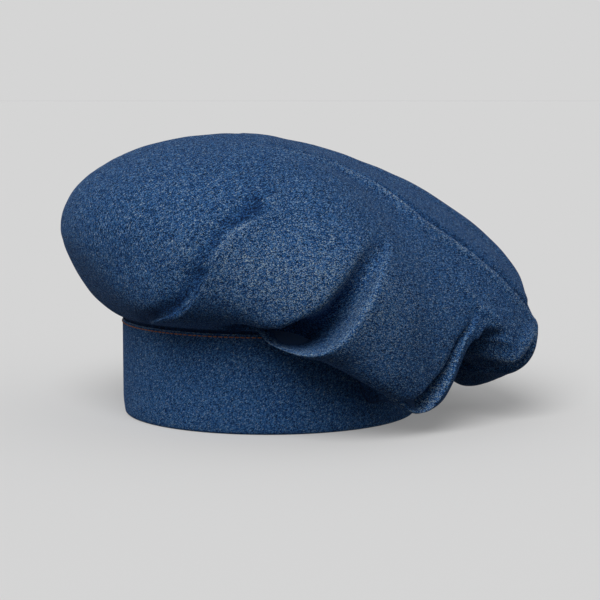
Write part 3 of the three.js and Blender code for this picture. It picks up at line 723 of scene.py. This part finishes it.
class MakeCrown(bpy.types.Operator):
    """Make the crown from one round piece of denim, pleated into the band"""

    bl_idname = "hat.make_crown"
    bl_label = "Crown"

    def execute(self, context):
        sizes = context.scene.hat_sizes
        outer, top, worn, folded = crown_shape(sizes)
        outward = normals_of(outer, top)
        evened = 2 * outward + np.roll(outward, 1, 0) + np.roll(outward, -1, 0)
        evened /= np.linalg.norm(evened, axis=-1, keepdims=True)
        inner = outer - CROWN_CLOTH * evened
        columns, rows = outer.shape[:2]
        count = columns * rows
        under = top - np.array([0, 0, CROWN_CLOTH])
        points = np.concatenate([outer.reshape(-1, 3), inner.reshape(-1, 3), [top, under]])
        faces = grid_faces(columns, rows, 0, False)
        inside = grid_faces(columns, rows, count, True)
        for i in range(columns):
            j = (i + 1) % columns
            faces.append((i * rows + rows - 1, j * rows + rows - 1, 2 * count))
            faces.append((count + i * rows, count + j * rows, j * rows, i * rows))
            inside.append((count + j * rows + rows - 1, count + i * rows + rows - 1, 2 * count + 1))
        reverse = np.where(folded[:, :-1], 0, 1).ravel().tolist()
        face_material = [0] * len(faces) + reverse + [1] * (len(inside) - len(reverse))
        colours = context.scene.hat_colours
        materials = [crown_denim(colours), inner_denim(colours)]
        faces += inside
        crown = add_piece("crown_cloth", points, faces, materials, face_material)
        pattern = crown_pattern(outer, top).reshape(-1, 2)
        pattern = np.concatenate([pattern, pattern, np.zeros((2, 2))])
        add_cloth_data(crown, pattern, np.concatenate([worn.ravel(), worn.ravel(), [0, 0]]))
        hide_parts("crown")
        return {"FINISHED"}


def band_profile(sizes):
    """The band's section as insets from its outer face and heights, with how worn each is"""
    top = sizes.band_height
    seam = top - SEAM_DEPTH
    edge = BAND_LEAF / 2
    inner = BAND_WALL - BAND_LEAF / 2

    def curl(z):
        return BAND_CURL * (1 - min(z / BAND_CURL_HEIGHT, 1)) ** 2

    def turned(middle, steps, start, end):
        angles = [start + (end - start) * i / steps for i in range(1, steps)]
        rise = top - edge
        return [
            (middle - edge * math.cos(a), rise + edge * math.sin(a), BAND_EDGE_WORN)
            for a in angles
        ]

    def fold(steps):
        middle = BAND_WALL / 2 + curl(0)
        half = BAND_WALL / 2
        angles = [math.pi * i / steps for i in range(1, steps)]
        return [
            (middle + half * math.cos(a), BAND_FOLD_ROUNDING * (1 - math.sin(a)), BAND_FOLD_WORN)
            for a in angles
        ]

    straight = top - edge - BAND_FOLD_ROUNDING
    climb = [BAND_FOLD_ROUNDING + straight * (i / BAND_ROWS) for i in range(BAND_ROWS + 1)]
    profile = [(curl(z), z, 0.0) for z in climb]
    profile += turned(edge, BAND_EDGE_STEPS, 0, math.pi)
    profile += [(BAND_LEAF, top - edge, 0.0), (BAND_LEAF, seam, 0.0)]
    profile += [(BAND_WALL - BAND_LEAF, seam, 0.0), (BAND_WALL - BAND_LEAF, top - edge, 0.0)]
    profile += turned(inner, BAND_EDGE_STEPS, 0, math.pi)
    profile += [(BAND_WALL + curl(z), z, 0.0) for z in reversed(climb[::2])]
    profile += fold(BAND_FOLD_STEPS)
    return profile


class MakeBand(bpy.types.Operator):
    """Make the band from a strip of denim, folded double and closed to a ring"""

    bl_idname = "hat.make_band"
    bl_label = "Band"

    def execute(self, context):
        sizes = context.scene.hat_sizes
        profile = band_profile(sizes)
        azimuth = np.linspace(0, FULL_TURN, BAND_COLUMNS, endpoint=False)
        points = np.stack([band_points(sizes, azimuth, inset, z) for inset, z, _ in profile], 1)
        perimeter = np.cumsum(np.linalg.norm(np.roll(points[:, 0], -1, 0) - points[:, 0], axis=-1))
        steps = np.diff(np.array(profile)[:, :2], axis=0, prepend=np.array(profile)[:1, :2])
        climb = np.cumsum(np.hypot(steps[:, 0], steps[:, 1]))
        pattern = np.stack(np.broadcast_arrays(perimeter[:, None], climb[None, :]), -1)
        worn = np.broadcast_to([p[2] for p in profile], points.shape[:2])
        rows = len(profile)
        faces = grid_faces(BAND_COLUMNS, rows, 0, False)
        for i in range(BAND_COLUMNS):
            j = (i + 1) % BAND_COLUMNS
            faces.append((i * rows + rows - 1, j * rows + rows - 1, j * rows, i * rows))
        colours = context.scene.hat_colours
        band = add_piece("band_cloth", points.reshape(-1, 3), faces, [band_denim(colours)])
        add_cloth_data(band, pattern.reshape(-1, 2), worn)
        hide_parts("band")
        return {"FINISHED"}


class MakeStitching(bpy.types.Operator):
    """Sew the row of stitches along the band's upper edge"""

    bl_idname = "hat.make_stitching"
    bl_label = "Stitching"

    def execute(self, context):
        sizes = context.scene.hat_sizes
        dense = np.linspace(0, FULL_TURN, SEAM_STEPS, endpoint=False)
        ring = band_points(sizes, dense, 0.0, sizes.band_height - STITCH_BELOW_EDGE)
        steps = np.linalg.norm(np.roll(ring, -1, 0) - ring, axis=-1)
        travelled = np.concatenate([[0], np.cumsum(steps)])
        count = round(travelled[-1] / sizes.stitch)
        points = []
        faces = []
        for number in range(count):
            places = (number + STITCH_SHARE * np.linspace(0, 1, STITCH_RINGS)) / count * travelled[-1]
            angles = np.interp(places, travelled, np.append(dense, FULL_TURN))
            for k, angle in enumerate(angles):
                bulge = math.sin(math.pi * (k + 0.5) / STITCH_RINGS)
                radius = sizes.thread / 2 * (STITCH_ENDS + STITCH_SWELL * bulge)
                inset = -radius * STITCH_STANDS * bulge + STITCH_SINKS
                middle = band_points(sizes, np.array([angle]), inset, 0.0)[0]
                outward = np.array([middle[0], middle[1], 0]) / math.hypot(middle[0], middle[1])
                middle[2] = sizes.band_height - STITCH_BELOW_EDGE
                for side in range(STITCH_SIDES):
                    turn = 2 * math.pi * side / STITCH_SIDES
                    points.append(middle + radius * (math.cos(turn) * outward + [0, 0, math.sin(turn)]))
            start = number * STITCH_RINGS * STITCH_SIDES
            for k in range(STITCH_RINGS - 1):
                for side in range(STITCH_SIDES):
                    a = start + k * STITCH_SIDES + side
                    b = start + k * STITCH_SIDES + (side + 1) % STITCH_SIDES
                    faces.append((a, a + STITCH_SIDES, b + STITCH_SIDES, b))
            last = start + (STITCH_RINGS - 1) * STITCH_SIDES
            faces.append([start + side for side in range(STITCH_SIDES)])
            faces.append([last + side for side in reversed(range(STITCH_SIDES))])
        materials = [spun_thread(context.scene.hat_colours)]
        add_piece("band_topstitch", points, faces, materials)
        return {"FINISHED"}


def add_node(tree, kind, inputs=None, **settings):
    """Adds a node with its settings, and gives each named input a value or a link"""
    made = tree.nodes.new(kind)
    for name, value in settings.items():
        setattr(made, name, value)
    for name, value in (inputs or {}).items():
        if isinstance(value, bpy.types.NodeSocket):
            tree.links.new(value, made.inputs[name])
        else:
            made.inputs[name].default_value = value
    return made


def new_material(name):
    """An empty material with its node tree and shader"""
    material = bpy.data.materials.new(name)
    material.use_nodes = True
    tree = material.node_tree
    tree.nodes.clear()
    shader = add_node(tree, "ShaderNodeBsdfPrincipled")
    output = add_node(tree, "ShaderNodeOutputMaterial")
    tree.links.new(shader.outputs["BSDF"], output.inputs["Surface"])
    return material, tree, shader


def full(colour_value):
    """A colour with its alpha"""
    return (*colour_value, 1.0)


def stretched_noise(tree, cloth, angle, length, width, detail):
    """Noise drawn out along a direction of the cloth. length and width are metres."""
    turned = add_node(
        tree, "ShaderNodeMapping", {"Vector": cloth, "Rotation": (0, 0, -math.radians(angle))}
    ).outputs["Vector"]
    scaled = add_node(
        tree, "ShaderNodeVectorMath", {0: turned, 1: (1 / length, 1 / width, 0)}, operation="MULTIPLY"
    ).outputs["Vector"]
    return add_node(
        tree, "ShaderNodeTexNoise", {"Vector": scaled, "Scale": 1.0, "Detail": detail, "Roughness": 0.6}
    ).outputs["Fac"]


def yarn_flecks(tree, width):
    """A light or dark value for each place where a yarn comes up. width is metres."""
    place = add_node(tree, "ShaderNodeTexCoord").outputs["Object"]
    cells = add_node(tree, "ShaderNodeTexVoronoi", {"Vector": place, "Scale": 1 / width})
    return add_node(tree, "ShaderNodeSeparateColor", {"Color": cells.outputs["Color"]}).outputs["Red"]


def weighed(tree, parts):
    """The sum of values, each times its own weight"""
    total = None
    for value, weight in parts:
        if total is None:
            total = add_node(tree, "ShaderNodeMath", {0: value, 1: weight}, operation="MULTIPLY").outputs[0]
        else:
            total = add_node(
                tree, "ShaderNodeMath", {0: value, 1: weight, 2: total}, operation="MULTIPLY_ADD"
            ).outputs[0]
    return total


def denim(name, colours, weave):
    """Twill of indigo warp over pale weft: dull, flecked along the diagonal, paler where rubbed, and darker
    where worn carries painted shade.

    Its ribs and slubs are wider than the real 0.4 mm yarn, so that they show.
    """
    material, tree, shader = new_material(name)
    cloth = add_node(tree, "ShaderNodeUVMap", uv_map="Cloth").outputs["UV"]
    ribs = stretched_noise(tree, cloth, TWILL_ANGLE, weave.rib * RIB_LENGTH, weave.rib, 1.0)
    flecks = yarn_flecks(tree, weave.fleck)
    slubs = stretched_noise(tree, cloth, SLUB_ANGLE, weave.slub * SLUB_LENGTH, weave.slub, 1.0)
    wash = stretched_noise(tree, cloth, WASH_ANGLE, WASH_LENGTH, WASH_WIDTH, 3.0)
    # worn pales the cloth where it has worn and, below zero, darkens it as painted shade
    worn = add_node(tree, "ShaderNodeAttribute", attribute_name="worn").outputs["Fac"]
    yarns = weighed(tree, [(ribs, RIB_WEIGHT), (flecks, FLECK_WEIGHT), (slubs, SLUB_WEIGHT)])
    centred = add_node(tree, "ShaderNodeMath", {0: yarns, 1: 0.5}, operation="SUBTRACT").outputs[0]
    strength = add_node(
        tree,
        "ShaderNodeMath",
        {0: worn, 1: WORN_CONTRAST * weave.contrast, 2: weave.contrast},
        operation="MULTIPLY_ADD",
    ).outputs[0]
    flecked = add_node(
        tree,
        "ShaderNodeMath",
        {0: centred, 1: strength, 2: MIDDLE_LEVEL + weave.rise},
        operation="MULTIPLY_ADD",
    ).outputs[0]
    level = weighed(tree, [(flecked, 1.0), (wash, WASH_WEIGHT), (worn, WORN_WEIGHT)])
    ramp = add_node(tree, "ShaderNodeValToRGB", {"Fac": level})
    elements = ramp.color_ramp.elements
    elements[0].position = SHADE_PLACE
    elements[0].color = full(colours.shade)
    elements[1].position = 1.0
    elements[1].color = full(colours.worn)
    for position, value in ((WARP_PLACE, colours.warp), (WEFT_PLACE, colours.weft)):
        element = elements.new(position)
        element.color = full(value)
    tree.links.new(ramp.outputs["Color"], shader.inputs["Base Color"])
    bump = add_node(tree, "ShaderNodeBump", {"Height": yarns, "Strength": 0.6, "Distance": 0.0006})
    tree.links.new(bump.outputs["Normal"], shader.inputs["Normal"])
    shader.inputs["Roughness"].default_value = 0.95
    shader.inputs["Specular IOR Level"].default_value = 0.15
    shader.inputs["Sheen Weight"].default_value = 0.06
    shader.inputs["Sheen Roughness"].default_value = 0.3
    shader.inputs["Sheen Tint"].default_value = full(linear(FIBRE_BLUE))
    return material


def crown_denim(colours):
    """Washed denim, worn pale on the folds"""
    return denim("washed indigo denim twill", colours, CROWN_WEAVE)


def band_denim(colours):
    """The same denim with its firmer, darker face"""
    return denim("firm indigo denim twill", colours, BAND_WEAVE)


def inner_denim(colours):
    """The inner face of the twill: dull, with little pattern, and painted darker than its own pale colour,
    as shade where it shows between the folds
    """
    material, tree, shader = new_material("inner face of denim twill")
    cloth = add_node(tree, "ShaderNodeUVMap", uv_map="Cloth").outputs["UV"]
    yarn = add_node(tree, "ShaderNodeTexNoise", {"Vector": cloth, "Scale": 900.0, "Detail": 2.0})
    ramp = add_node(tree, "ShaderNodeValToRGB", {"Fac": yarn.outputs["Fac"]})
    ramp.color_ramp.elements[0].position = 0.35
    ramp.color_ramp.elements[0].color = full(colours.warp)
    ramp.color_ramp.elements[1].position = 0.6
    ramp.color_ramp.elements[1].color = full(colours.reverse)
    tree.links.new(ramp.outputs["Color"], shader.inputs["Base Color"])
    shader.inputs["Roughness"].default_value = 0.95
    return material


def spun_thread(colours):
    """Brown cotton-wrapped sewing thread: dull, with the hollows of its twist painted as shade"""
    material, tree, shader = new_material("brown spun sewing thread")
    place = add_node(tree, "ShaderNodeTexCoord").outputs["Object"]
    twist = add_node(tree, "ShaderNodeTexNoise", {"Vector": place, "Scale": 1400.0, "Detail": 1.0})
    ramp = add_node(tree, "ShaderNodeValToRGB", {"Fac": twist.outputs["Fac"]})
    ramp.color_ramp.elements[0].position = 0.35
    ramp.color_ramp.elements[0].color = full([c * THREAD_HOLLOW_SHADE for c in colours.thread])
    ramp.color_ramp.elements[1].position = 0.65
    ramp.color_ramp.elements[1].color = full(colours.thread)
    tree.links.new(ramp.outputs["Color"], shader.inputs["Base Color"])
    shader.inputs["Roughness"].default_value = 0.8
    return material


def opal_board(floor_colour, lit_by):
    """Matt opal board, lit from above and a little from behind, as light as the background in all"""
    material, tree, shader = new_material("matt opal plastic board")
    front = (1 - FLOOR_OWN_LIGHT) / lit_by
    shader.inputs["Base Color"].default_value = full([c * front for c in floor_colour])
    shader.inputs["Emission Color"].default_value = full(floor_colour)
    shader.inputs["Emission Strength"].default_value = FLOOR_OWN_LIGHT
    shader.inputs["Roughness"].default_value = 1.0
    shader.inputs["Specular IOR Level"].default_value = 0.0
    return material


def light_studio(tree, background):
    """A pale backdrop all around, and dimmer light above it and below"""
    place = add_node(tree, "ShaderNodeTexCoord").outputs["Generated"]
    height = add_node(tree, "ShaderNodeSeparateXYZ", {"Vector": place}).outputs["Z"]
    level = add_node(
        tree, "ShaderNodeMapRange", {"Value": height, "From Min": -1.0, "From Max": 1.0}
    ).outputs["Result"]
    ramp = add_node(tree, "ShaderNodeValToRGB", {"Fac": level})
    elements = ramp.color_ramp.elements
    elements[0].position = BACKDROP_FOOT
    elements[0].color = (UNDER_LIGHT, UNDER_LIGHT, UNDER_LIGHT, 1)
    elements[1].position = 0.5 + BACKDROP_TOP / 2
    elements[1].color = (SKY_LIGHT, SKY_LIGHT, SKY_LIGHT, 1)
    for position in (0.5, 0.5 + BACKDROP_EVEN * BACKDROP_TOP / 2):
        element = elements.new(position)
        element.color = full(background)
    tree.links.new(ramp.outputs["Color"], tree.nodes["Background"].inputs["Color"])


class SetStage(bpy.types.Operator):
    """Set up the floor, the lights, the background and the camera"""

    bl_idname = "hat.set_stage"
    bl_label = "Stage"

    def execute(self, context):
        scene = context.scene
        background = tuple(scene.hat_colours.floor)
        scene.view_settings.view_transform = "Standard"
        world = bpy.data.worlds.new("even studio light")
        scene.world = world
        world.use_nodes = True
        light_studio(world.node_tree, background)

        key = bpy.data.lights.new("key", "SUN")
        key.energy = KEY_STRENGTH
        key.angle = math.radians(KEY_ANGLE)
        lamp = bpy.data.objects.new("key", key)
        lamp.rotation_euler = KEY_FROM.to_track_quat("Z", "Y").to_euler()
        scene.collection.objects.link(lamp)

        sky = SKY_LIGHT + (background[0] - SKY_LIGHT) * (BACKDROP_MIDDLE * BACKDROP_TOP) ** 2
        received = KEY_STRENGTH / math.pi * KEY_FROM.normalized().z + sky
        mesh = bpy.data.meshes.new("floor")
        corners = [(x * FLOOR_HALF, y * FLOOR_HALF, 0) for x, y in ((-1, -1), (1, -1), (1, 1), (-1, 1))]
        mesh.from_pydata(corners, [], [(0, 1, 2, 3)])
        mesh.materials.append(opal_board(background, received))
        floor = bpy.data.objects.new("floor", mesh)
        scene.collection.objects.link(floor)
        # The object's underside stays dark, as over a floor that gives no light back
        floor.visible_diffuse = False

        camera = bpy.data.cameras.new("camera")
        camera.sensor_width = SENSOR_WIDTH
        camera.lens = FOCAL_PIXELS * SENSOR_WIDTH / PICTURE_SIZE
        stand = bpy.data.objects.new("camera", camera)
        stand.location = CAMERA_PLACE
        stand.rotation_euler = (math.pi / 2 - math.atan(HORIZON_PIXELS / FOCAL_PIXELS), 0, 0)
        scene.collection.objects.link(stand)
        scene.camera = stand
        return {"FINISHED"}


class HatPanel(bpy.types.Panel):
    """Lists the hat's pieces and its stage"""

    bl_idname = "VIEW3D_PT_hat"
    bl_label = "Denim hat"
    bl_space_type = "VIEW_3D"
    bl_region_type = "UI"
    bl_category = "Hat"

    def draw(self, context):
        for operator in OPERATORS:
            self.layout.operator(operator.bl_idname)
        for group in (context.scene.hat_sizes, context.scene.hat_colours):
            for name in group.__annotations__:
                self.layout.prop(group, name)


OPERATORS = (SetStage, MakeBand, MakeCrown, MakeStitching)
CLASSES = (HatSizes, HatColours, *OPERATORS, HatPanel)


def register():
    for one in CLASSES:
        bpy.utils.register_class(one)
    bpy.types.Scene.hat_sizes = PointerProperty(type=HatSizes)
    bpy.types.Scene.hat_colours = PointerProperty(type=HatColours)


def unregister():
    del bpy.types.Scene.hat_colours
    del bpy.types.Scene.hat_sizes
    for one in reversed(CLASSES):
        bpy.utils.unregister_class(one)


def main():
    register()
    bpy.ops.hat.set_stage()
    bpy.ops.hat.make_band()
    bpy.ops.hat.make_crown()
    bpy.ops.hat.make_stitching()


if __name__ == "__main__":
    main()
